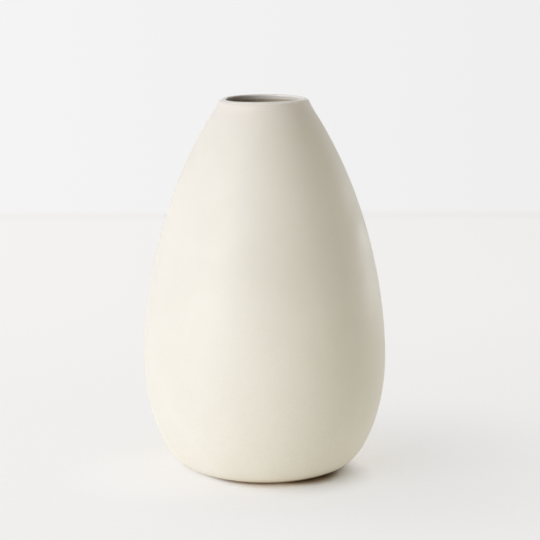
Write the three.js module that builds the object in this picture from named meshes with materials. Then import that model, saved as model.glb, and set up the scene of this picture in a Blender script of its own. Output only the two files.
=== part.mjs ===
// Ceramic bud vase: an egg-shaped stoneware shell with a small open mouth, a satin glaze coat
// outside, a liner glaze coat inside, and three soft pads stuck under the bare foot ring.
// Millimetres, +Z up. The vase stands on z = 0 and its axis is the Z axis.

import * as THREE from 'three';

// Outline, measured over the glaze.
const height = 160; // floor to the crown of the lip
const bellyRadius = 52.5; // widest ring
const bellyHeight = 47.5; // floor to the widest ring
const bellyRise = 17; // length over which the belly stays upright above the widest ring
const bellyDrop = 23.5; // length over which it stays upright below the widest ring
const mouthRadius = 17.25; // axis to the crown of the lip
const shoulderLean = 34.5; // degrees between the shoulder and the upright, at the lip
const shoulderReach = 54; // length over which the shoulder keeps that lean below the lip
const glazeEdgeRadius = 35; // lower edge of the outer coat
const undersideLift = 10; // degrees between the underside and level, at the glaze edge
const undersideReach = 8.5; // length over which the underside keeps that lift

// Walls and coats.
const lipWall = 2.5; // whole wall at the lip, both coats included
const footWall = 4; // whole wall at the foot, both coats included
const outerCoat = 0.45; // thickness of the outer glaze
const linerCoat = 0.35; // thickness of the liner glaze
const coatGap = 0.1; // clearance between a coat and the clay
const coatSeam = 0.3; // clearance between the two coats, just inside the lip

// Foot and pads.
const dryFoot = 0.6; // bare clay between the foot's standing face and the glaze edge
const footSetback = 0.5; // glaze edge to the outside of the foot ring
const footRingWidth = 8;
const recessDepth = 1.6; // hollow of the underside inside the foot ring
const padCount = 3;
const padMargin = 0.5; // foot ring left bare on each side of a pad
const padThickness = 0.5;
const padEdge = 0.15; // chamfer around the pad's lower edge
const padGlue = 0.1; // clearance for the adhesive between a pad and the foot ring
const firstPadAngle = 90; // degrees from +X to the first pad, which is at the back

// Fineness of the faceted solids.
const ringSegments = 48;
const sweepSteps = 9; // along each of the two sweeps of the outline
const crownSteps = 2; // from the shoulder up to the crown of the lip
const throatSteps = 4; // from the crown down into the mouth
const padSegments = 24;

// Finishes.
const bareStoneware = { color: '#b9a583', roughness: 0.9, metalness: 0 };
const creamGlaze = { color: '#efe9da', roughness: 0.5, metalness: 0 };
const clearLiner = { color: '#e2dbc9', roughness: 0.35, metalness: 0 };
const softPad = { color: '#c9c6bd', roughness: 0.6, metalness: 0 };

const footBase = padThickness + padGlue;
const glazeEdgeHeight = footBase + dryFoot;
const footOuterRadius = glazeEdgeRadius - footSetback;
const footInnerRadius = footOuterRadius - footRingWidth;
const padCircle = (footOuterRadius + footInnerRadius) / 2;
const padRadius = footRingWidth / 2 - padMargin;
const recessTop = footBase + recessDepth;
const lipRadius = lipWall / 2;
const lean = THREE.MathUtils.degToRad(shoulderLean);
const lift = THREE.MathUtils.degToRad(undersideLift);

const at = (radius, z) => new THREE.Vector2(radius, z);

// The outline is two cubic sweeps that meet upright at the belly. The upper one ends where the
// half-round of the lip begins.
const glazeEdge = at(glazeEdgeRadius, glazeEdgeHeight);
const belly = at(bellyRadius, bellyHeight);
const lipStart = at(mouthRadius, height - lipRadius)
  .add(at(Math.cos(lean), Math.sin(lean)).multiplyScalar(lipRadius));
const lowerSweep = new THREE.CubicBezierCurve(
  glazeEdge,
  glazeEdge.clone().add(at(Math.cos(lift), Math.sin(lift)).multiplyScalar(undersideReach)),
  at(bellyRadius, bellyHeight - bellyDrop),
  belly,
);
const upperSweep = new THREE.CubicBezierCurve(
  belly,
  at(bellyRadius, bellyHeight + bellyRise),
  lipStart.clone().add(at(Math.sin(lean), -Math.cos(lean)).multiplyScalar(shoulderReach)),
  lipStart,
);

// The wall thins evenly from the foot to the lip.
function wallAt(z) {
  const share = (z - glazeEdge.y) / (lipStart.y - glazeEdge.y);
  return THREE.MathUtils.lerp(footWall, lipWall, share);
}

// Points, from foot to lip, of the surface that lies depthAt(z) inside the outline. The last
// point is drawn back along the surface by trim.
function layer(depthAt, trim = 0) {
  const points = [];
  for (const sweep of [lowerSweep, upperSweep]) {
    const firstStep = sweep === lowerSweep ? 0 : 1;
    for (let step = firstStep; step <= sweepSteps; step += 1) {
      const point = sweep.getPoint(step / sweepSteps);
      const along = sweep.getTangent(step / sweepSteps);
      const inward = at(-along.y, along.x);
      points.push(point.addScaledVector(inward, depthAt(point.y)));
    }
  }
  points.at(-1).add(at(Math.sin(lean), -Math.cos(lean)).multiplyScalar(trim));
  return points;
}

// Half-round over the lip, from the end of an outer layer to the end of an inner one, with one
// point on the crown itself. Both end points are left out.
function overLip(outerEnd, innerEnd) {
  const centre = outerEnd.clone().add(innerEnd).multiplyScalar(0.5);
  const radius = outerEnd.distanceTo(innerEnd) / 2;
  const crown = Math.PI / 2;
  const angles = [];
  for (let step = 1; step <= crownSteps; step += 1) {
    angles.push(THREE.MathUtils.lerp(lean, crown, step / crownSteps));
  }
  for (let step = 1; step < throatSteps; step += 1) {
    angles.push(THREE.MathUtils.lerp(crown, lean + Math.PI, step / throatSteps));
  }
  return angles.map((angle) => at(Math.cos(angle), Math.sin(angle)).multiplyScalar(radius).add(centre));
}

function turned(name, profile, segments, look) {
  const geometry = new THREE.LatheGeometry(profile, segments);
  const mesh = new THREE.Mesh(geometry, new THREE.MeshStandardMaterial(look));
  mesh.name = name;
  mesh.rotation.x = Math.PI / 2; // the lathe turns about Y, the vase about Z
  return mesh;
}

function stonewareBody() {
  const outside = layer(() => outerCoat + coatGap);
  const inside = layer((z) => wallAt(z) - linerCoat - coatGap);
  const profile = [
    at(0, recessTop),
    at(footInnerRadius, recessTop),
    at(footInnerRadius, footBase),
    at(footOuterRadius, footBase),
    at(footOuterRadius, outside[0].y),
    ...outside,
    ...overLip(outside.at(-1), inside.at(-1)),
    ...inside.toReversed(),
    at(0, inside[0].y),
  ];
  return turned('stoneware_body', profile, ringSegments, bareStoneware);
}

function outerGlaze() {
  const face = layer(() => 0);
  const back = layer(() => outerCoat);
  const faceEnd = layer(wallAt).at(-1);
  const backEnd = layer((z) => wallAt(z) - linerCoat).at(-1);
  const profile = [
    ...face,
    ...overLip(face.at(-1), faceEnd),
    faceEnd,
    backEnd,
    ...overLip(back.at(-1), backEnd).toReversed(),
    ...back.toReversed(),
    face[0],
  ];
  return turned('outer_glaze', profile, ringSegments, creamGlaze);
}

function linerGlaze() {
  const face = layer(wallAt, coatSeam);
  const back = layer((z) => wallAt(z) - linerCoat, coatSeam);
  const profile = [
    at(0, back[0].y),
    ...back,
    ...face.toReversed(),
    at(0, face[0].y),
  ];
  return turned('liner_glaze', profile, ringSegments, clearLiner);
}

function footPad(number) {
  const profile = [
    at(0, 0),
    at(padRadius - padEdge, 0),
    at(padRadius, padEdge),
    at(padRadius, padThickness),
    at(0, padThickness),
  ];
  const pad = turned(`foot_pad_${number}`, profile, padSegments, softPad);
  const angle = THREE.MathUtils.degToRad(firstPadAngle + ((number - 1) * 360) / padCount);
  pad.position.set(padCircle * Math.cos(angle), padCircle * Math.sin(angle), 0);
  return pad;
}

const vase = new THREE.Group();
vase.add(stonewareBody(), outerGlaze(), linerGlaze());
for (let number = 1; number <= padCount; number += 1) {
  vase.add(footPad(number));
}

export default vase;
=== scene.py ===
# Looks of a ceramic bud vase: a thrown-and-glazed egg shape with a cream satin coat, a liner
# glaze inside, a bare stoneware foot ring and three soft pads, standing on a pale table.
import math

import bpy
import numpy as np
from mathutils import Matrix, Vector


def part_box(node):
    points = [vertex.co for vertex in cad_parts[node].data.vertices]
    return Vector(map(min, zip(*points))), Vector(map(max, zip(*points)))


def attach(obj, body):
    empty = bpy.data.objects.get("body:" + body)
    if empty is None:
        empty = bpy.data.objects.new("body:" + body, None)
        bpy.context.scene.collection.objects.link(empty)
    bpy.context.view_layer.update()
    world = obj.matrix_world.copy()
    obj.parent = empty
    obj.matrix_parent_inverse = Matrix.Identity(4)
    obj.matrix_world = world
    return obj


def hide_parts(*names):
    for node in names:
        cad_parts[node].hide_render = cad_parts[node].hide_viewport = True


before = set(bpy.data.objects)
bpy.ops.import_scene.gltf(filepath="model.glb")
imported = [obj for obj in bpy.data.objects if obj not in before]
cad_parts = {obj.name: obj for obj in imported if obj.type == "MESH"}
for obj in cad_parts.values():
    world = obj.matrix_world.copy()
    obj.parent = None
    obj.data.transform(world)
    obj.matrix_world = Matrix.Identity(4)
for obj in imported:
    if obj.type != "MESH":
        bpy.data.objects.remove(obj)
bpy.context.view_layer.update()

MM = 0.001

# ---------------------------------------------------------------- sizes, in metres

# Outline over the glaze. Its overall sizes come from the frame, its curves from these handles.
# The mouth's radius is taken to the middle of the lip's wall.
coat_low, coat_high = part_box("outer_glaze")
clay_low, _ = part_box("stoneware_body")
HEIGHT = coat_high.z
BELLY_RADIUS = coat_high.x
GLAZE_EDGE_HEIGHT = coat_low.z
FOOT_BASE = clay_low.z
BELLY_HEIGHT = 47.5 * MM
BELLY_RISE = 17 * MM
BELLY_DROP = 23.5 * MM
MOUTH_RADIUS = 17.25 * MM
SHOULDER_LEAN = math.radians(34.5)
SHOULDER_REACH = 54 * MM
GLAZE_EDGE_RADIUS = 35 * MM
UNDERSIDE_LIFT = math.radians(10)
UNDERSIDE_REACH = 8.5 * MM

# Walls and coats.
LIP_WALL = 2.5 * MM
FOOT_WALL = 4 * MM
OUTER_COAT = 0.45 * MM
LINER_COAT = 0.35 * MM
COAT_GAP = 0.1 * MM

# Foot ring, the recess inside it and the pads under it. The recess stays flat up to its margin.
FOOT_SETBACK = 0.5 * MM
FOOT_RING_WIDTH = 8 * MM
FOOT_OUTER = GLAZE_EDGE_RADIUS - FOOT_SETBACK
FOOT_INNER = FOOT_OUTER - FOOT_RING_WIDTH
RECESS_DEPTH = 1.6 * MM
RECESS_MARGIN = 1.5 * MM
RECESS_ROUND = 0.9 * MM
RING_INNER_ROUND = 0.35 * MM
RING_OUTER_ROUND = 0.25 * MM
PAD_EDGE = 0.22 * MM
PAD_TOP_ROUND = 0.08 * MM

# Glaze over the lip: how far below the top it leaves the outline, how many lip radii its outer
# corner lies beyond the middle of the wall, and how softly each of its corners is rounded.
LIP_BEND = 3.4 * MM
LIP_CORNER_SHARE = 1.2
LIP_BEND_ROUND = 1.2 * MM
LIP_OUTER_ROUND = 1.6 * MM
LIP_INNER_ROUND = 0.8 * MM

# Dip of the lip: its depth, the side it is on, and the powers that keep it narrow and at the top.
LIP_DIP = 0.38 * MM
LIP_DIP_WAY = math.radians(200)
LIP_DIP_NARROWING = 7
LIP_DIP_FADING = 12

# Height of the bead at the glaze's lower edge, as a share of a round one's.
BEAD_SQUASH = 0.99

# Hand finishing: the greatest share of the radius that it takes off, and its waves. Each wave has
# its lobes around the vase, the angle by which they wander up to the lip, the angle at which they
# start, and its weight.
UNEVENNESS = 0.0009
FINISHING_WAVES = (
    (2, 2.1, 0.7, 1.0),
    (3, -3.4, 1.9, 0.6),
    (1, 7 * math.pi, 0.0, 0.4),
)

# Fineness: faces around, rows or points along each stretch of a profile, and the angle from which
# an edge is shaded sharp.
AROUND = 288
PAD_AROUND = 96
SWEEP_ROWS = 72
CLAY_INSIDE_ROWS = SWEEP_ROWS // 2
COAT_BACK_ROWS = SWEEP_ROWS // 3
LIP_ROWS = 20
CLAY_LIP_ROWS = 10
LIP_BEND_ROWS = 8
LIP_OUTER_ROWS = 10
LIP_INNER_ROWS = 8
CORNER_ROWS = 4
RECESS_ROWS = 6
PAD_TOP_ROWS = 3
BEAD_POINTS = 9
CLAY_FLOOR_POINTS = 40
LINER_FLOOR_POINTS = 20
PAD_EDGE_POINTS = 8
PAD_FACE_POINTS = 10
SHARP_ANGLE = math.radians(50)

# ---------------------------------------------------------------- outline


def cubic(handles, share):
    """Point and direction on a cubic sweep. The point at share s is the sum of the four handles
    times (1-s)^3, 3(1-s)^2 s, 3(1-s) s^2 and s^3, and the direction is its slope in s."""
    start, leave, arrive, end = (np.array(handle, float) for handle in handles)
    s = share[:, None]
    t = 1 - s
    point = t**3 * start + 3 * t**2 * s * leave + 3 * t * s**2 * arrive + s**3 * end
    slope = 3 * t**2 * (leave - start) + 6 * t * s * (arrive - leave) + 3 * s**2 * (end - arrive)
    return point, slope / np.linalg.norm(slope, axis=1, keepdims=True)


LIP_RADIUS = LIP_WALL / 2
LIP_START = np.array([
    MOUTH_RADIUS + LIP_RADIUS * math.cos(SHOULDER_LEAN),
    HEIGHT - LIP_RADIUS + LIP_RADIUS * math.sin(SHOULDER_LEAN),
])
DOWN_SHOULDER = np.array([math.sin(SHOULDER_LEAN), -math.cos(SHOULDER_LEAN)])
LIP_OUTER_CORNER = np.array([MOUTH_RADIUS + LIP_CORNER_SHARE * LIP_RADIUS, HEIGHT])
LIP_INNER_CORNER = np.array([MOUTH_RADIUS - LIP_RADIUS, HEIGHT])
GLAZE_EDGE = np.array([GLAZE_EDGE_RADIUS, GLAZE_EDGE_HEIGHT])
UNDERSIDE = np.array([math.cos(UNDERSIDE_LIFT), math.sin(UNDERSIDE_LIFT)])
LOWER_SWEEP = (
    GLAZE_EDGE,
    GLAZE_EDGE + UNDERSIDE * UNDERSIDE_REACH,
    (BELLY_RADIUS, BELLY_HEIGHT - BELLY_DROP),
    (BELLY_RADIUS, BELLY_HEIGHT),
)
UPPER_SWEEP = (
    (BELLY_RADIUS, BELLY_HEIGHT),
    (BELLY_RADIUS, BELLY_HEIGHT + BELLY_RISE),
    LIP_START + DOWN_SHOULDER * SHOULDER_REACH,
    LIP_START,
)


def wall_at(z):
    """Whole wall at height z: it thins evenly from the foot to the lip."""
    share = (z - GLAZE_EDGE_HEIGHT) / (LIP_START[1] - GLAZE_EDGE_HEIGHT)
    return FOOT_WALL + (LIP_WALL - FOOT_WALL) * share


def layer(depth_at, rows=SWEEP_ROWS):
    """Profile of the surface that lies depth_at(z) inside the outline, from foot to lip: each
    point of the two sweeps, moved along its inward normal."""
    lower, lower_way = cubic(LOWER_SWEEP, np.linspace(0, 1, rows + 1))
    upper, upper_way = cubic(UPPER_SWEEP, np.linspace(0, 1, rows + 1)[1:])
    point = np.vstack([lower, upper])
    way = np.vstack([lower_way, upper_way])
    inward = np.stack([-way[:, 1], way[:, 0]], axis=1)
    return point + inward * depth_at(point[:, 1])[:, None]


def over_lip(outer_end, inner_end, rows=LIP_ROWS):
    """Half-round over the lip from a layer's outer end to its inner end: a circle about their
    midpoint, turned from the shoulder's lean through half a turn. Both ends are left out."""
    centre = (outer_end + inner_end) / 2
    radius = np.linalg.norm(outer_end - inner_end) / 2
    turn = SHOULDER_LEAN + np.pi * np.linspace(0, 1, rows + 1)[1:-1]
    return centre + radius * np.stack([np.cos(turn), np.sin(turn)], axis=1)


def corner(before, at, after, radius, rows=CORNER_ROWS):
    """Rounds a corner of a profile: the quadratic curve (1-s)^2 start + 2(1-s) s corner + s^2 end,
    whose start and end lie on the two sides, at radius from the corner."""
    before, at, after = (np.array(point, float) for point in (before, at, after))
    start = at + (before - at) / np.linalg.norm(before - at) * radius
    end = at + (after - at) / np.linalg.norm(after - at) * radius
    s = np.linspace(0, 1, rows + 1)[:, None]
    return (1 - s) ** 2 * start + 2 * (1 - s) * s * at + s**2 * end


def crown(shoulder, throat):
    """The glaze over the lip: straight and a little more upright than the shoulder, flat across
    the top, and straight down to the throat, with corner()'s curve where these meet. The outer
    corner is soft and the inner one crisper."""
    bend = shoulder[-1]
    return np.vstack([
        corner(shoulder[-2], bend, LIP_OUTER_CORNER, LIP_BEND_ROUND, LIP_BEND_ROWS),
        corner(bend, LIP_OUTER_CORNER, LIP_INNER_CORNER, LIP_OUTER_ROUND, LIP_OUTER_ROWS),
        corner(LIP_OUTER_CORNER, LIP_INNER_CORNER, throat, LIP_INNER_ROUND, LIP_INNER_ROWS),
        (LIP_INNER_CORNER + throat) / 2,
    ])


# ---------------------------------------------------------------- surfaces


def unevenness(angle, z):
    """Share of the radius that hand finishing takes off, from 0 to UNEVENNESS. Each wave is its
    weight times the cosine of lobes times angle, plus wander times the height's share, plus
    start. The waves are taken from the weights' sum, and the rest is scaled by twice that sum."""
    rise = z / HEIGHT
    whole = sum(weight for *_, weight in FINISHING_WAVES)
    waves = sum(
        weight * np.cos(lobes * angle + wander * rise + start)
        for lobes, wander, start, weight in FINISHING_WAVES
    )
    return UNEVENNESS * (whole - waves) / (2 * whole)


def dip(angle, z):
    """Small drop of the lip on its left, where a thumb rested: the depth times the raised cosine
    of the angle from there to one power, times the height's share to another."""
    near = (1 + np.cos(angle - LIP_DIP_WAY)) / 2
    rise = np.clip(z / HEIGHT, 0, 1)
    return LIP_DIP * near**LIP_DIP_NARROWING * rise**LIP_DIP_FADING


def turned(name, profile, around=AROUND, closed=False, centre=(0.0, 0.0), uneven=True):
    """Surface of revolution: each profile point (radius, height) is carried round a full circle
    to centre + radius times (cosine, sine). An uneven one has its radius reduced by unevenness()
    and its top lowered by dip(). A closed profile joins its last point to its first, and an open
    one starts and ends on the axis, where a fan of triangles meets in one point."""
    profile = np.asarray(profile, float)
    rings = profile if closed else profile[1:-1]
    angle = np.linspace(0, 2 * np.pi, around, endpoint=False)[None, :]
    radius = rings[:, 0][:, None]
    z = rings[:, 1][:, None] + 0 * angle
    if uneven:
        radius = radius * (1 - unevenness(angle, z))
        z = z - dip(angle, z)
    grid = np.stack([
        centre[0] + radius * np.cos(angle),
        centre[1] + radius * np.sin(angle),
        z,
    ], axis=-1)
    index = np.arange(len(rings) * around).reshape(len(rings), around)
    upper = np.roll(index, -1, axis=0) if closed else index[1:]
    lower = index if closed else index[:-1]
    quads = np.stack([lower, np.roll(lower, -1, 1), np.roll(upper, -1, 1), upper], axis=-1)
    points = grid.reshape(-1, 3)
    faces = quads.reshape(-1, 4).tolist()
    if not closed:
        poles = np.array([[*centre, profile[0, 1]], [*centre, profile[-1, 1]]])
        first, last = len(points), len(points) + 1
        points = np.vstack([points, poles])
        near, far = index[0], index[-1]
        faces += np.stack([np.full(around, first), np.roll(near, -1), near], 1).tolist()
        faces += np.stack([np.full(around, last), far, np.roll(far, -1)], 1).tolist()
    mesh = bpy.data.meshes.new(name)
    mesh.from_pydata(points, [], faces)
    mesh.polygons.foreach_set("use_smooth", np.ones(len(faces), bool))
    mesh.set_sharp_from_angle(angle=SHARP_ANGLE)
    mesh.update()
    piece = bpy.data.objects.new(name, mesh)
    bpy.context.scene.collection.objects.link(piece)
    return piece


def glaze_coat():
    """Outer coat: the outline, the crown of the lip, and the way back over the clay's half-round
    and down at the coat's depth. Its lower edge is a rolled bead: half a circle about the middle
    of the coat's edge, a little squashed."""
    face = layer(lambda z: 0 * z)
    face = face[face[:, 1] < HEIGHT - LIP_BEND]
    back = layer(lambda z: 0 * z + OUTER_COAT, rows=COAT_BACK_ROWS)
    face_end = layer(wall_at)[-1]
    back_end = layer(lambda z: wall_at(z) - LINER_COAT)[-1]
    bead_centre = (face[0] + back[0]) / 2
    bead_radius = np.linalg.norm(face[0] - back[0]) / 2
    start = math.atan2(*(back[0] - bead_centre)[::-1])
    roll = start + np.pi * np.linspace(0, 1, BEAD_POINTS)[1:-1]
    bead = bead_centre + bead_radius * np.stack([np.cos(roll), BEAD_SQUASH * np.sin(roll)], axis=1)
    profile = np.vstack([
        face[:-1],
        crown(face, face_end),
        face_end,
        back_end,
        over_lip(back[-1], back_end)[::-1],
        back[::-1],
        bead,
    ])
    return turned("glaze_coat", profile, closed=True)


def clay_shell():
    """Clay: recess, foot ring with softened corners, outer face, lip, inner face and floor. The
    two faces are layers of the outline, joined by over_lip()'s half-round, and the foot is straight
    lines with corner()'s curves."""
    outside = layer(lambda z: 0 * z + OUTER_COAT + COAT_GAP)
    inside = layer(lambda z: wall_at(z) - LINER_COAT - COAT_GAP, rows=CLAY_INSIDE_ROWS)
    recess = FOOT_BASE + RECESS_DEPTH
    centre = (0, recess)
    recess_rim = (FOOT_INNER, recess)
    ring_inner = (FOOT_INNER, FOOT_BASE)
    ring_outer = (FOOT_OUTER, FOOT_BASE)
    ring_top = (FOOT_OUTER, outside[0, 1])
    out = np.linspace(0, 1, CLAY_FLOOR_POINTS)[:, None]
    profile = np.vstack([
        out * [FOOT_INNER - RECESS_MARGIN, 0] + centre,
        corner(centre, recess_rim, ring_inner, RECESS_ROUND, RECESS_ROWS),
        corner(recess_rim, ring_inner, ring_outer, RING_INNER_ROUND),
        corner(ring_inner, ring_outer, ring_top, RING_OUTER_ROUND),
        [ring_top],
        outside,
        over_lip(outside[-1], inside[-1], CLAY_LIP_ROWS),
        inside[::-1],
        [(0, inside[0, 1])],
    ])
    return turned("clay_shell", profile)


def liner_coat():
    """Liner coat: a bag with its back to the clay and its face to the hollow of the vase, both
    layers of the outline with a flat floor. Its top edge meets the lip coat's, so that the two
    glazes run into each other."""
    face = layer(wall_at)
    back = layer(lambda z: wall_at(z) - LINER_COAT, rows=COAT_BACK_ROWS)
    inwards = np.linspace(1, 0, LINER_FLOOR_POINTS)[1:, None]
    floor = inwards * [face[0, 0], 0] + [0, face[0, 1]]
    profile = np.vstack([[(0, back[0, 1])], back, face[::-1], floor])
    return turned("liner_coat", profile)


def pad_disc(number):
    """Soft disc under the foot ring: a flat face below with a quarter-circle edge, and a flat top
    with a small corner()."""
    low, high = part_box(f"foot_pad_{number}")
    radius = (high.x - low.x) / 2
    flat = radius - PAD_EDGE
    reach = np.linspace(0, 1, PAD_FACE_POINTS)[:-1]
    face = np.stack([reach * flat, 0 * reach], axis=1)
    turn = np.linspace(-np.pi / 2, 0, PAD_EDGE_POINTS)
    edge = np.stack([flat + PAD_EDGE * np.cos(turn), PAD_EDGE + PAD_EDGE * np.sin(turn)], axis=1)
    top_edge = corner((radius, 0), (radius, high.z), (0, high.z), PAD_TOP_ROUND, PAD_TOP_ROWS)
    profile = np.vstack([face, edge, top_edge, [(0, high.z)]])
    middle = ((low.x + high.x) / 2, (low.y + high.y) / 2)
    return turned(f"pad_disc_{number}", profile, PAD_AROUND, centre=middle, uneven=False)


# ---------------------------------------------------------------- finishes

# Spans of a noise pattern's value: nearly all of it, and a narrower one for more contrast.
NOISE_SPAN = (0.3, 0.7)
NOISE_CORE = (0.35, 0.65)
NOISE_MIDDLE = 0.5


def carried(nodes, links, value, ends, kind):
    """Carries a value over from the span between the first two ends to the span between the last
    two and holds it there: evenly, or with a soft start and stop, as 3s^2 - 2s^3."""
    node = nodes.new("ShaderNodeMapRange")
    node.interpolation_type = kind
    links.new(value, node.inputs["Value"])
    for socket, end in zip(("From Min", "From Max", "To Min", "To Max"), ends):
        node.inputs[socket].default_value = end
    return node.outputs["Result"]


class Finish:
    """A material with short calls for the nodes that the finishes share."""

    def __init__(self, name):
        self.material = bpy.data.materials.new(name)
        self.material.use_nodes = True
        self.nodes = self.material.node_tree.nodes
        self.links = self.material.node_tree.links
        self.shader = self.nodes["Principled BSDF"]
        self.place = self.nodes.new("ShaderNodeTexCoord").outputs["Object"]

    def put(self, value, socket):
        """Links an output to a socket, or sets the socket to a plain value."""
        if isinstance(value, bpy.types.NodeSocket):
            self.links.new(value, socket)
        else:
            socket.default_value = value

    def noise(self, scale, detail=3.0, roughness=0.5, distortion=0.0, place=None):
        """Noise pattern fixed to the piece, with about scale grains to the metre."""
        node = self.nodes.new("ShaderNodeTexNoise")
        self.put(place or self.place, node.inputs["Vector"])
        node.inputs["Scale"].default_value = scale
        node.inputs["Detail"].default_value = detail
        node.inputs["Roughness"].default_value = roughness
        node.inputs["Distortion"].default_value = distortion
        return node.outputs["Fac"]

    def maths(self, operation, first, second=0.0):
        """One operation on two values, or on the first alone."""
        node = self.nodes.new("ShaderNodeMath")
        node.operation = operation
        self.put(first, node.inputs[0])
        self.put(second, node.inputs[1])
        return node.outputs[0]

    def ramp(self, value, start, stop, at_start=0.0, at_stop=1.0, smooth=True):
        """Goes from at_start to at_stop while value goes from start to stop."""
        kind = "SMOOTHSTEP" if smooth else "LINEAR"
        return carried(self.nodes, self.links, value, (start, stop, at_start, at_stop), kind)

    def blend(self, share, first, second):
        """Mixes two colours by share. A colour is (r, g, b) or another node's output."""
        node = self.nodes.new("ShaderNodeMix")
        node.data_type = "RGBA"
        self.put(share, node.inputs[0])
        for colour, socket in ((first, node.inputs[6]), (second, node.inputs[7])):
            self.put((*colour, 1.0) if isinstance(colour, tuple) else colour, socket)
        return node.outputs[2]

    def height_of(self):
        """Height above the table."""
        split = self.nodes.new("ShaderNodeSeparateXYZ")
        self.put(self.place, split.inputs[0])
        return split.outputs["Z"]

    def radius_of(self):
        """Distance from the vase's axis."""
        flat = self.nodes.new("ShaderNodeVectorMath")
        flat.operation = "MULTIPLY"
        self.put(self.place, flat.inputs[0])
        flat.inputs[1].default_value = (1, 1, 0)
        length = self.nodes.new("ShaderNodeVectorMath")
        length.operation = "LENGTH"
        self.put(flat.outputs[0], length.inputs[0])
        return length.outputs["Value"]

    def distance_to(self, point):
        """Distance from a point."""
        away = self.nodes.new("ShaderNodeVectorMath")
        away.operation = "DISTANCE"
        self.put(self.place, away.inputs[0])
        away.inputs[1].default_value = point
        return away.outputs["Value"]

    def bump(self, height, distance, strength, normal=None):
        """Surface relief of a pattern, distance deep, on top of another bump's."""
        node = self.nodes.new("ShaderNodeBump")
        node.inputs["Strength"].default_value = strength
        node.inputs["Distance"].default_value = distance
        self.put(height, node.inputs["Height"])
        if normal is not None:
            self.put(normal, node.inputs["Normal"])
        return node.outputs["Normal"]

    def give(self, colour, roughness, normal):
        """Hands the three main looks to the shader."""
        self.put(colour, self.shader.inputs["Base Color"])
        self.put(roughness, self.shader.inputs["Roughness"])
        self.put(normal, self.shader.inputs["Normal"])
        return self.material


# Cream glaze. Colours are red, green and blue in even steps of light, and a pair of them is the
# two ends of a cloudy tone. Heights are where a tone begins and where it is at its full share.
# Upper and lower creams: partly thinner and thicker glaze, partly painted light, the paler low tone
# standing in for bounce from the table and the darker high one for shade on the shoulder.
THIN_CREAM_AND_SHADE = ((0.824, 0.763, 0.664), (0.848, 0.786, 0.690))
THICK_CREAM_AND_BOUNCE = ((0.932, 0.872, 0.751), (0.950, 0.895, 0.780))
CREAM_GRAIN = (0.800, 0.748, 0.630)
CREAM_GRAIN_SHARE = 0.20
WARM_LIP = (0.828, 0.752, 0.668)
WARM_LIP_SHARE = 0.85
# Painted light: the lip's pale top stands in for light falling on the up-facing crown.
LIT_LIP_TOP = (0.955, 0.866, 0.778)
LIT_LIP_TOP_SHARE = 0.9
POOLED_CREAM = (0.78, 0.71, 0.56)
POOLED_CREAM_SHARE = 0.6
THICK_AND_BOUNCE_HEIGHTS = (95 * MM, 8 * MM)
WARM_LIP_HEIGHTS = (HEIGHT - 14 * MM, HEIGHT - 2 * MM)
LIT_LIP_TOP_HEIGHTS = (HEIGHT - 1.2 * MM, HEIGHT - 0.3 * MM)
POLISH_HEIGHTS = (HEIGHT - 0.9 * MM, HEIGHT - 0.3 * MM)
POOLED_HEIGHTS = (GLAZE_EDGE_HEIGHT + 3 * MM, GLAZE_EDGE_HEIGHT)
TONE_WANDER = 1.2 * MM
SATIN = (0.47, 0.60)
LIP_POLISH = 0.40
GLAZE_IOR = 1.5


def cream_glaze():
    """Satin-matte cream glaze with a cloudy tone and a fine grain: paler towards the foot, partly
    thicker glaze and partly painted bounce light from the table, darker higher up, partly thinner
    glaze and partly painted shade on the shoulder, pooled at its rolled edge, thinner and warmer
    below the lip, and painted lighter on the lip's top, where light falls on the crown, which is
    also polished. The edges of these tones wander a little."""
    f = Finish("cream_glaze")
    cloud = f.ramp(f.noise(scale=28, detail=4, roughness=0.55, distortion=0.3), *NOISE_CORE)
    grain = f.ramp(f.noise(scale=900, detail=2, roughness=0.6), *NOISE_SPAN, 0.0, CREAM_GRAIN_SHARE)
    sway = f.maths("SUBTRACT", f.noise(scale=160), NOISE_MIDDLE)
    height = f.maths("ADD", f.height_of(), f.maths("MULTIPLY", sway, TONE_WANDER))
    # Paler towards the foot and darker higher up: partly glaze thickness, partly painted bounce and
    # shade.
    thick_and_bounce = f.ramp(height, *THICK_AND_BOUNCE_HEIGHTS, smooth=False)
    tone = f.blend(thick_and_bounce, f.blend(cloud, *THIN_CREAM_AND_SHADE), f.blend(cloud, *THICK_CREAM_AND_BOUNCE))
    tone = f.blend(grain, tone, CREAM_GRAIN)
    tone = f.blend(f.ramp(height, *WARM_LIP_HEIGHTS, 0.0, WARM_LIP_SHARE), tone, WARM_LIP)
    # Painted light on the lip's top.
    tone = f.blend(f.ramp(f.height_of(), *LIT_LIP_TOP_HEIGHTS, 0.0, LIT_LIP_TOP_SHARE), tone, LIT_LIP_TOP)
    tone = f.blend(f.ramp(height, *POOLED_HEIGHTS, 0.0, POOLED_CREAM_SHARE), tone, POOLED_CREAM)
    satin = f.ramp(f.noise(scale=60, detail=4, roughness=0.6), *NOISE_SPAN, *SATIN)
    polish = f.ramp(f.height_of(), *POLISH_HEIGHTS, 0.0, LIP_POLISH)
    roughness = f.maths("SUBTRACT", satin, polish)
    normal = f.bump(f.noise(scale=1500, detail=2), distance=0.02 * MM, strength=0.5)
    normal = f.bump(f.noise(scale=220), distance=0.06 * MM, strength=0.5, normal=normal)
    normal = f.bump(f.noise(scale=26, detail=2), distance=0.25 * MM, strength=0.5, normal=normal)
    f.shader.inputs["IOR"].default_value = GLAZE_IOR
    return f.give(tone, roughness, normal)


# Liner glaze.
# The rim's brown partly stands in for warm bounce light in the shaded mouth, and the darker tone
# further down is painted shade in the hollow.
LINER_RIM = ((0.905, 0.790, 0.570), (0.935, 0.825, 0.610))
LINER_DEEP_SHADE = ((0.500, 0.418, 0.265), (0.550, 0.465, 0.305))
LINER_SHADE_FADE = (HEIGHT - 4 * MM, HEIGHT - 14 * MM)
LINER_ROUGHNESS = (0.46, 0.60)
LINER_SHEEN = 0.35
RUN_STRETCH = (1, 1, 0.15)


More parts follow.
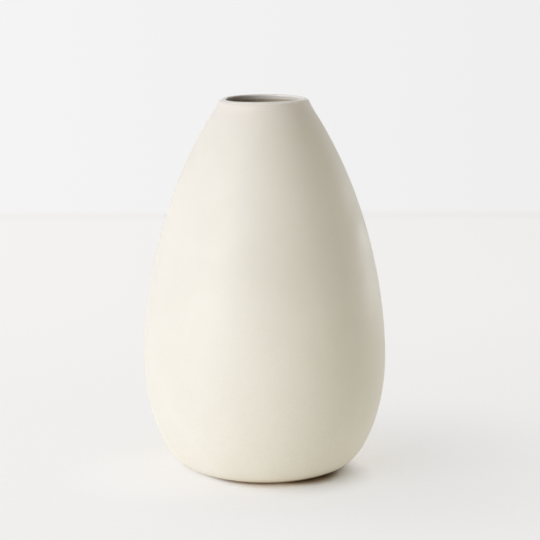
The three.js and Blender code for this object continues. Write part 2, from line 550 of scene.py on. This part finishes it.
def liner_glaze():
    """Liner glaze: browner than the coat outside, partly its own tone and partly painted warm
    bounce light in the shaded mouth, with faint runs down the wall, and darker further down:
    painted shade in the hollow."""
    f = Finish("liner_glaze")
    stretch = f.nodes.new("ShaderNodeMapping")
    stretch.inputs["Scale"].default_value = RUN_STRETCH
    f.put(f.place, stretch.inputs["Vector"])
    runs = f.noise(scale=110, distortion=0.2, place=stretch.outputs[0])
    streak = f.ramp(runs, *NOISE_CORE)
    # Darker further down: painted shade in the hollow.
    deeper_shade = f.ramp(f.height_of(), *LINER_SHADE_FADE)
    tone = f.blend(deeper_shade, f.blend(streak, *LINER_RIM), f.blend(streak, *LINER_DEEP_SHADE))
    roughness = f.ramp(f.noise(scale=90), *NOISE_SPAN, *LINER_ROUGHNESS)
    f.shader.inputs["Specular IOR Level"].default_value = LINER_SHEEN
    normal = f.bump(runs, distance=0.12 * MM, strength=0.6)
    normal = f.bump(f.noise(scale=700, detail=2), distance=0.02 * MM, strength=0.5, normal=normal)
    return f.give(tone, roughness, normal)


# Bare stoneware.
BUFF_CLAY = ((0.455, 0.335, 0.215), (0.545, 0.425, 0.290))
SAND = (0.62, 0.52, 0.39)
SAND_SPAN = (0.35, 0.75)
SAND_SHARE = 0.5
IRON = (0.115, 0.070, 0.045)
IRON_SPAN = (0.70, 0.76)
IRON_SHARE = 0.8
# Brown band at the foot's outer edge: partly kiln toasting, partly painted shade in the gap under
# the glaze edge.
TOASTED_CLAY_AND_SHADE = (0.450, 0.310, 0.200)
TOASTED_AND_SHADE_RADII = (FOOT_OUTER - 0.5 * MM, FOOT_OUTER - 0.1 * MM)
TOASTED_AND_SHADE_SHARE = 0.85
WORN_CLAY = (0.60, 0.50, 0.385)
WORN_HEIGHTS = (FOOT_BASE + 0.2 * MM, FOOT_BASE)
WORN_SHARE = 0.35
CLAY_ROUGHNESS = (0.80, 0.95)
RING_PITCH = 1.1 * MM


def bare_stoneware():
    """Unglazed buff clay: sandy grain, dark iron specks, the rings that the turning tool left, a
    brown band beside the glaze, part kiln toasting and part painted shade in the gap under the
    glaze edge, and a paler, worn face where the ring stands."""
    f = Finish("bare_stoneware")
    sand = f.noise(scale=1400, roughness=0.7)
    patch = f.noise(scale=45, detail=4, roughness=0.6)
    tone = f.blend(f.ramp(patch, *NOISE_SPAN), *BUFF_CLAY)
    tone = f.blend(f.ramp(sand, *SAND_SPAN, 0.0, SAND_SHARE), tone, SAND)
    specks = f.noise(scale=620, detail=1, roughness=0.4)
    tone = f.blend(f.ramp(specks, *IRON_SPAN, 0.0, IRON_SHARE), tone, IRON)
    # Partly kiln toasting, partly painted shade in the gap under the glaze.
    toasted_and_shade = f.ramp(f.radius_of(), *TOASTED_AND_SHADE_RADII, 0.0, TOASTED_AND_SHADE_SHARE)
    tone = f.blend(toasted_and_shade, tone, TOASTED_CLAY_AND_SHADE)
    worn = f.ramp(f.height_of(), *WORN_HEIGHTS, 0.0, WORN_SHARE)
    tone = f.blend(worn, tone, WORN_CLAY)
    rings = f.maths("SINE", f.maths("MULTIPLY", f.radius_of(), 2 * math.pi / RING_PITCH))
    normal = f.bump(sand, distance=0.05 * MM, strength=0.7)
    normal = f.bump(rings, distance=0.03 * MM, strength=0.5, normal=normal)
    roughness = f.ramp(sand, *NOISE_SPAN, *CLAY_ROUGHNESS)
    return f.give(tone, roughness, normal)


# Soft pads.
PAD_TONES = ((0.50, 0.48, 0.44), (0.60, 0.585, 0.55))
DUST_SPAN = (0.4, 0.7)
PAD_ROUGHNESS = (0.38, 0.62)


def soft_pad():
    """Soft grey disc, a little dusty."""
    f = Finish("soft_pad")
    dust = f.noise(scale=500, detail=4, roughness=0.65)
    tone = f.blend(f.ramp(dust, *DUST_SPAN), *PAD_TONES)
    roughness = f.ramp(dust, *NOISE_SPAN, *PAD_ROUGHNESS)
    normal = f.bump(f.noise(scale=900, detail=2), distance=0.02 * MM, strength=0.6)
    return f.give(tone, roughness, normal)


# ---------------------------------------------------------------- pieces


def dress(piece, material, node):
    """Gives a piece its finish, hangs it on the vase's one body and puts it in its node's place."""
    piece.data.materials.append(material)
    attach(piece, "root")
    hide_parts(node)


dress(glaze_coat(), cream_glaze(), "outer_glaze")
dress(clay_shell(), bare_stoneware(), "stoneware_body")
dress(liner_coat(), liner_glaze(), "liner_glaze")
pad_finish = soft_pad()
for number in (1, 2, 3):
    dress(pad_disc(number), pad_finish, f"foot_pad_{number}")

# ---------------------------------------------------------------- table, light and camera

# Table top: how far below the pads it lies, the places of its cross lines up to the back edge,
# and the upstand behind them.
TABLE_GAP = 0.02 * MM
TABLE_LINES = np.array([-3.0, -1.0, -0.3, 0.3])
TABLE_BACK = 0.659
TABLE_HALF_WIDTH = 3.0
TABLE_COLUMNS = 12
UPSTAND = 4 * MM
UPSTAND_ROWS = 8

# Table paint. Near the foot a painted warm shade and a painted contact shadow: the ring's warm
# tone, standing in for shade lit by bounce from the glaze, and the contact's dark brown.
PAINT = ((0.935, 0.927, 0.914), (0.955, 0.947, 0.934))
PAINT_ROUGHNESS = 0.9
# Painted warm shade: the table's tone around the foot, standing in for shade lit by bounce from the
# glaze.
SHADE_RING_TONE = (0.930, 0.830, 0.710)
SHADE_RING_MIDDLE = (2 * MM, -14 * MM, 0)
SHADE_RING_REACH = (21 * MM, 30 * MM)
# Painted contact shadow: dark brown on the table at the foot's front right.
CONTACT_SHADOW_TONE = (0.430, 0.330, 0.235)
CONTACT_SHADOW_MIDDLE = (16 * MM, -20 * MM, 0)
CONTACT_SHADOW_TONE_REACH = (10 * MM, 18 * MM)

# Glow of the table and the wall. Each goes from the left strength to the right one. The table's has
# painted warm bounce light beside the vase, a painted gleam of light in front on the left and
# painted shade in the crease at the back.
WALL_LEFT = 0.905
WALL_RIGHT = 0.862
TABLE_SIDE = 0.21
# Painted warm bounce from the glaze: the glow is warmer beside the vase.
WARM_BOUNCE_GLOW = (1.012, 0.982, 0.936)
PLAIN_GLOW = (1.006, 0.995, 0.985)
WARM_BOUNCE_REACH = (42 * MM, 90 * MM)
# Painted gleam: a pool of light on the table in front on the left.
GLEAM = 0.04
GLEAM_MIDDLE = (-42 * MM, -20 * MM, 0)
GLEAM_REACH = (15 * MM, 50 * MM)
GLOW_GRAIN = (0.993, 1.007)
# Painted shade in the crease at the back.
CREASE_SHADE = 0.972
CREASE_SHADE_REACH = 30 * MM

# Share of the glow against the lit paint: from near to far, cut to none in painted contact shadows
# at the contact, the ring and the rear of the foot, and lowered in a painted soft shadow to the
# vase's right.
GLOW_NEAR = 0.915
GLOW_FAR = 0.986
GLOW_RISE = (0.0, 0.35)
CONTACT_SHADOW_REACH = (12.5 * MM, 33 * MM)
REAR_SHADOW_MIDDLE = (0, 4 * MM, 0)
REAR_SHADOW_REACH = (32 * MM, 39 * MM)
SHADE_MIDDLE = (56 * MM, -18 * MM, 0)
SHADE_REACH = (0, 130 * MM)
SHADE_DEPTH = 0.265

# Room, by direction: where the wall's tone changes across, and the strength of the soft light
# from behind and from above and where each fades in.
WHITE = (1, 1, 1, 1)
WALL_SPAN = (-0.15, 0.15)
BACK_LIGHT = 0.56
BACK_SPAN = (0.0, 0.6)
TOP_LIGHT = 0.22
TOP_SPAN = (0.3, 0.9)

# Camera: where it stands and looks, its tilt, and its lens and sensor, both in millimetres.
EYE = Vector((0, -0.75, 0.2337))
AIM = Vector((0.00239, 0, 0.0856))
TILT = math.radians(-0.2)
LENS = 117.856
SENSOR_WIDTH = 36


def seen_directly(nodes, links):
    """1 for the eye and for mirror and glass rays, and 0 for rays that carry light."""
    ray = nodes.new("ShaderNodeLightPath")
    seen = ray.outputs["Is Camera Ray"]
    for kind in ("Is Glossy Ray", "Is Transmission Ray"):
        either = nodes.new("ShaderNodeMath")
        either.operation = "MAXIMUM"
        links.new(seen, either.inputs[0])
        links.new(ray.outputs[kind], either.inputs[1])
        seen = either.outputs[0]
    return seen


def table_paint():
    """Pale matt paint with a fine speckle, with a painted warm shade and a painted contact shadow
    close to the foot. To the eye it glows, as a high-key table does, but less in a painted shadow
    beside the vase and not at all under it."""
    f = Finish("table_paint")
    speck = f.noise(scale=420, roughness=0.7)
    # Painted shade near the foot: a warm ring tone where the glaze's bounce falls.
    ring = f.ramp(f.distance_to(SHADE_RING_MIDDLE), *SHADE_RING_REACH)
    # Painted contact shadow at the foot's front right.
    contact = f.ramp(f.distance_to(CONTACT_SHADOW_MIDDLE), *CONTACT_SHADOW_TONE_REACH)
    tone = f.blend(f.ramp(speck, *NOISE_SPAN), *PAINT)
    tone = f.blend(ring, SHADE_RING_TONE, tone)
    tone = f.blend(contact, CONTACT_SHADOW_TONE, tone)
    f.shader.inputs["Specular IOR Level"].default_value = 0.0
    material = f.give(tone, PAINT_ROUGHNESS, f.bump(speck, distance=0.03 * MM, strength=0.4))

    split = f.nodes.new("ShaderNodeSeparateXYZ")
    f.put(f.place, split.inputs[0])
    x, y, z = (split.outputs[axis] for axis in "XYZ")
    along = f.maths("DIVIDE", f.maths("SUBTRACT", TABLE_BACK, y), CREASE_SHADE_REACH)
    climb = f.maths("DIVIDE", z, UPSTAND)
    strength = f.ramp(x, -TABLE_SIDE, TABLE_SIDE, WALL_LEFT, WALL_RIGHT, smooth=False)
    # Painted shade in the back crease, a painted gleam in front on the left, and a fine grain.
    for factor in (
        f.ramp(f.maths("MAXIMUM", along, climb), 0.0, 1.0, CREASE_SHADE, 1.0),
        f.ramp(f.distance_to(GLEAM_MIDDLE), *GLEAM_REACH, 1 + GLEAM, 1.0),
        f.ramp(speck, *NOISE_SPAN, *GLOW_GRAIN),
    ):
        strength = f.maths("MULTIPLY", strength, factor)
    glow = f.nodes.new("ShaderNodeEmission")
    # Painted warm bounce: warmer glow close to the vase.
    bounce_warmth = f.ramp(f.radius_of(), *WARM_BOUNCE_REACH)
    f.put(f.blend(bounce_warmth, WARM_BOUNCE_GLOW, PLAIN_GLOW), glow.inputs["Color"])
    f.put(strength, glow.inputs["Strength"])

    # Painted shadows: the glow is cut near the foot and lowered to the vase's right.
    share = f.ramp(y, *GLOW_RISE, GLOW_NEAR, GLOW_FAR)
    for factor in (
        f.ramp(f.distance_to(CONTACT_SHADOW_MIDDLE), *CONTACT_SHADOW_REACH),
        ring,
        f.ramp(f.distance_to(REAR_SHADOW_MIDDLE), *REAR_SHADOW_REACH),
        f.ramp(f.distance_to(SHADE_MIDDLE), *SHADE_REACH, 1 - SHADE_DEPTH, 1.0),
        seen_directly(f.nodes, f.links),
    ):
        share = f.maths("MULTIPLY", share, factor)
    mix = f.nodes.new("ShaderNodeMixShader")
    f.put(share, mix.inputs[0])
    f.put(f.shader.outputs[0], mix.inputs[1])
    f.put(glow.outputs[0], mix.inputs[2])
    f.put(mix.outputs[0], f.nodes["Material Output"].inputs["Surface"])
    return material


def table():
    """Pale table top: level from the front to its back edge, where it turns up through a quarter
    circle into a low upstand."""
    turn = np.linspace(0, np.pi / 2, UPSTAND_ROWS + 1)
    y = np.concatenate([TABLE_LINES, TABLE_BACK + UPSTAND * np.sin(turn)])
    z = np.concatenate([0 * TABLE_LINES, UPSTAND - UPSTAND * np.cos(turn)]) - TABLE_GAP
    x = np.linspace(-TABLE_HALF_WIDTH, TABLE_HALF_WIDTH, TABLE_COLUMNS + 1)
    grid = np.stack(np.broadcast_arrays(x[:, None], y[None, :], z[None, :]), axis=-1)
    index = np.arange(grid.shape[0] * grid.shape[1]).reshape(grid.shape[:2])
    quads = np.stack([index[:-1, :-1], index[1:, :-1], index[1:, 1:], index[:-1, 1:]], axis=-1)
    mesh = bpy.data.meshes.new("table")
    mesh.from_pydata(grid.reshape(-1, 3), [], quads.reshape(-1, 4).tolist())
    mesh.polygons.foreach_set("use_smooth", np.ones(len(mesh.polygons), bool))
    mesh.materials.append(table_paint())
    top = bpy.data.objects.new("table", mesh)
    bpy.context.scene.collection.objects.link(top)


def soft_light(name, azimuth, elevation, distance, width, tall, power, colour):
    """Soft light that faces the middle of the vase. Both angles are in degrees, and the azimuth is
    counted from the camera's side, to the right."""
    lamp = bpy.data.lights.new(name, "AREA")
    lamp.shape = "RECTANGLE"
    lamp.size = width
    lamp.size_y = tall
    lamp.energy = power
    lamp.color = colour
    light = bpy.data.objects.new(name, lamp)
    across, up = math.radians(azimuth), math.radians(elevation)
    way = Vector((math.sin(across) * math.cos(up), -math.cos(across) * math.cos(up), math.sin(up)))
    light.location = way * distance + Vector((0, 0, HEIGHT / 2))
    light.rotation_euler = way.to_track_quat("Z", "Y").to_euler()
    light.visible_camera = False
    bpy.context.scene.collection.objects.link(light)


def lights():
    """A big window on the left, a long low light in the room on the right, and one behind each
    side that draws the edge."""
    soft_light(
        "window_light", azimuth=-53, elevation=19, distance=2.6,
        width=2.0, tall=1.6, power=55, colour=(0.963, 1.0, 1.075),
    )
    soft_light(
        "room_light", azimuth=38, elevation=1, distance=2.6,
        width=1.6, tall=0.22, power=12.4, colour=(1.05, 1.0, 0.71),
    )
    soft_light(
        "right_edge_light", azimuth=126, elevation=0.6, distance=2.4,
        width=1.6, tall=0.16, power=9.4, colour=(0.96, 1.0, 1.03),
    )
    soft_light(
        "left_edge_light", azimuth=-115, elevation=5, distance=2.4,
        width=1.6, tall=0.6, power=3.5, colour=(1.0, 1.0, 1.0),
    )


def room():
    """A pale wall, a little darker to the right, that only the eye and reflections see, and soft
    light that comes from behind the table and from above."""
    world = bpy.data.worlds.new("room")
    world.use_nodes = True
    nodes, links = world.node_tree.nodes, world.node_tree.links
    way = nodes.new("ShaderNodeSeparateXYZ")
    links.new(nodes.new("ShaderNodeTexCoord").outputs["Generated"], way.inputs[0])
    across, back, up = (way.outputs[axis] for axis in "XYZ")
    wall = nodes["Background"]
    wall.inputs["Color"].default_value = WHITE
    wall_tone = carried(nodes, links, across, (*WALL_SPAN, WALL_LEFT, WALL_RIGHT), "LINEAR")
    links.new(wall_tone, wall.inputs["Strength"])
    soft = nodes.new("ShaderNodeBackground")
    soft.inputs["Color"].default_value = WHITE
    behind = carried(nodes, links, back, (*BACK_SPAN, 0.0, BACK_LIGHT), "SMOOTHSTEP")
    above = carried(nodes, links, up, (*TOP_SPAN, 0.0, TOP_LIGHT), "SMOOTHSTEP")
    both = nodes.new("ShaderNodeMath")
    both.operation = "ADD"
    links.new(behind, both.inputs[0])
    links.new(above, both.inputs[1])
    links.new(both.outputs[0], soft.inputs["Strength"])
    mix = nodes.new("ShaderNodeMixShader")
    links.new(seen_directly(nodes, links), mix.inputs[0])
    links.new(soft.outputs[0], mix.inputs[1])
    links.new(wall.outputs[0], mix.inputs[2])
    links.new(mix.outputs[0], nodes["World Output"].inputs["Surface"])
    bpy.context.scene.world = world


def camera():
    """Long lens from the front, a little above the vase, with a very slight tilt."""
    lens = bpy.data.cameras.new("camera")
    lens.sensor_width = SENSOR_WIDTH
    lens.lens = LENS
    eye = bpy.data.objects.new("camera", lens)
    eye.location = EYE
    turn = (AIM - EYE).to_track_quat("-Z", "Y").to_matrix() @ Matrix.Rotation(TILT, 3, "Z")
    eye.rotation_euler = turn.to_euler()
    bpy.context.scene.collection.objects.link(eye)
    bpy.context.scene.camera = eye


table()
room()
lights()
camera()
bpy.context.scene.view_settings.view_transform = "Standard"
